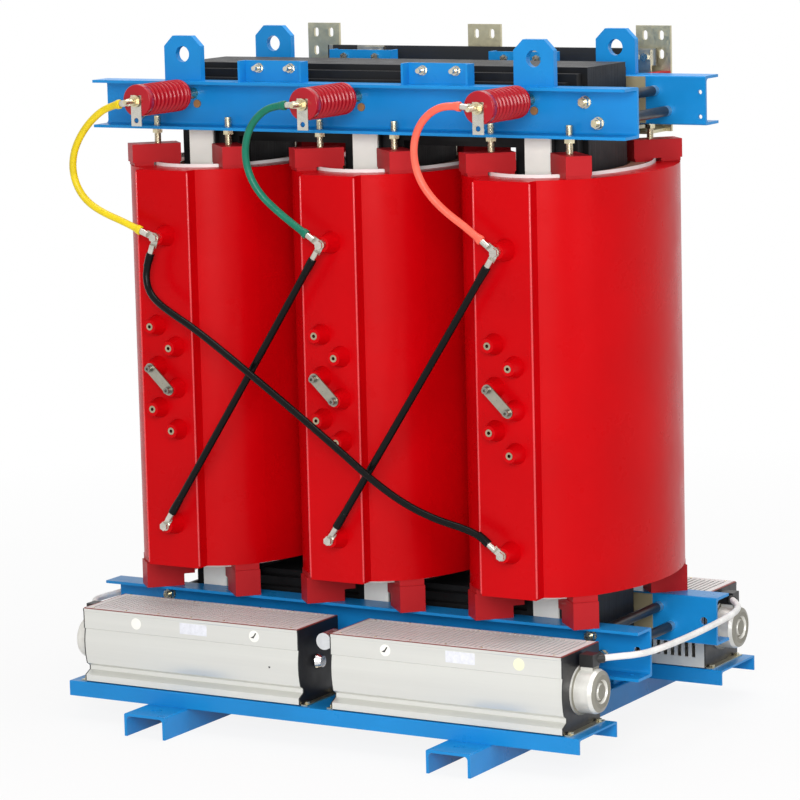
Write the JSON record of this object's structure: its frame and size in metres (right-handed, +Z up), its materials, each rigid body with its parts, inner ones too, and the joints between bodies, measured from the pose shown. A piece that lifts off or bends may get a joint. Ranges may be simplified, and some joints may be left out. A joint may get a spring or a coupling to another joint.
{
  "type": "dry type transformer",
  "caption": "Three-phase cast-resin dry type transformer on channel feet, with red windings, blue clamps, delta cables and cross-flow cooling fans.",
  "frame": {"origin": "on the floor under the middle limb, midway between the front and back of the feet", "axes": "+Z up, -Y towards the high-voltage terminals and taps, +X along the row of limbs to the third winding"},
  "size_m": [1.596, 1.176, 1.712],
  "materials": {
    "core_black": "satin",
    "tie_plate_white": "satin",
    "board_cream": "matte",
    "foil_winding": "satin",
    "barrier_white": "satin",
    "winding_red": "satin",
    "block_red": "satin",
    "post_red": "satin",
    "brass": "satin",
    "tinned_bar": "satin",
    "zinc": "satin",
    "clamp_blue": "gloss",
    "plug_brown": "matte",
    "sleeve_black": "matte",
    "bar_black": "satin",
    "fan_silver": "satin",
    "fan_black": "satin",
    "rotor_grey": "satin",
    "motor_grey": "satin",
    "capacitor_silver": "satin",
    "cable_yellow": "satin",
    "cable_green": "satin",
    "cable_red": "satin",
    "cable_black": "satin",
    "conduit_white": "satin"
  },
  "bodies": {
    "frame": {"bottom_clamps": "clamp_blue", "bracket_bolts": "zinc", "brass_inserts": "brass", "cable_lugs": "tinned_bar", "clamp_nuts": "zinc", "clamp_pedestals": "clamp_blue", "clamp_tie_rods": "zinc", "core_limbs": "core_black", "core_yokes": "core_black", "fan_capacitors": "capacitor_silver", "fan_conduits": "conduit_white", "fan_end_plates": "fan_black", "fan_grilles": "fan_silver", "fan_housings": "fan_silver", "fan_hubs": "fan_black", "fan_motors": "motor_grey", "fan_screws": "zinc", "fan_shelves": "clamp_blue", "fan_terminal_blocks": "fan_black", "foot_channels": "clamp_blue", "green_lead": "cable_green", "hv_winding_a": "winding_red", "hv_winding_b": "winding_red", "hv_winding_c": "winding_red", "jack_screws": "zinc", "lead_boots": "cable_yellow", "lifting_lugs": "clamp_blue", "limb_tie_plates": "tie_plate_white", "long_link": "cable_black", "lv_supports": "block_red", "lv_terminal_bars": "tinned_bar", "lv_windings": "foil_winding", "post_insulators": "post_red", "post_spacers": "zinc", "post_studs": "zinc", "post_tags": "tinned_bar", "red_lead": "cable_red", "resin_blocks_bottom": "block_red", "resin_blocks_top": "block_red", "resin_pads_bottom": "block_red", "resin_pads_top": "block_red", "rod_sleeves": "sleeve_black", "short_links": "cable_black", "star_bar": "bar_black", "star_bolts": "zinc", "star_leads": "tinned_bar", "tap_link_screws": "zinc", "tap_links": "tinned_bar", "terminal_bolts": "zinc", "top_brackets": "clamp_blue", "top_clamp_back": "clamp_blue", "top_clamp_front": "clamp_blue", "web_plugs": "plug_brown", "winding_barriers": "barrier_white", "yellow_lead": "cable_yellow", "yoke_boards": "board_cream"},
    "rotor_front_right": {"impeller_front_right": "rotor_grey"},
    "rotor_front_left": {"impeller_front_left": "rotor_grey"},
    "rotor_back_right": {"impeller_back_right": "rotor_grey"},
    "rotor_back_left": {"impeller_back_left": "rotor_grey"}
  },
  "joints": [
    {"name": "spin_front_right", "type": "hinge", "parent": "frame", "child": "rotor_front_right", "pos_m": [0.364, -0.385, 0.19], "axis": [1, 0, 0], "continuous": true},
    {"name": "spin_front_left", "type": "hinge", "parent": "frame", "child": "rotor_front_left", "pos_m": [-0.364, -0.385, 0.19], "axis": [1, 0, 0], "continuous": true},
    {"name": "spin_back_right", "type": "hinge", "parent": "frame", "child": "rotor_back_right", "pos_m": [0.364, 0.385, 0.19], "axis": [1, 0, 0], "continuous": true},
    {"name": "spin_back_left", "type": "hinge", "parent": "frame", "child": "rotor_back_left", "pos_m": [-0.364, 0.385, 0.19], "axis": [1, 0, 0], "continuous": true}
  ]
}
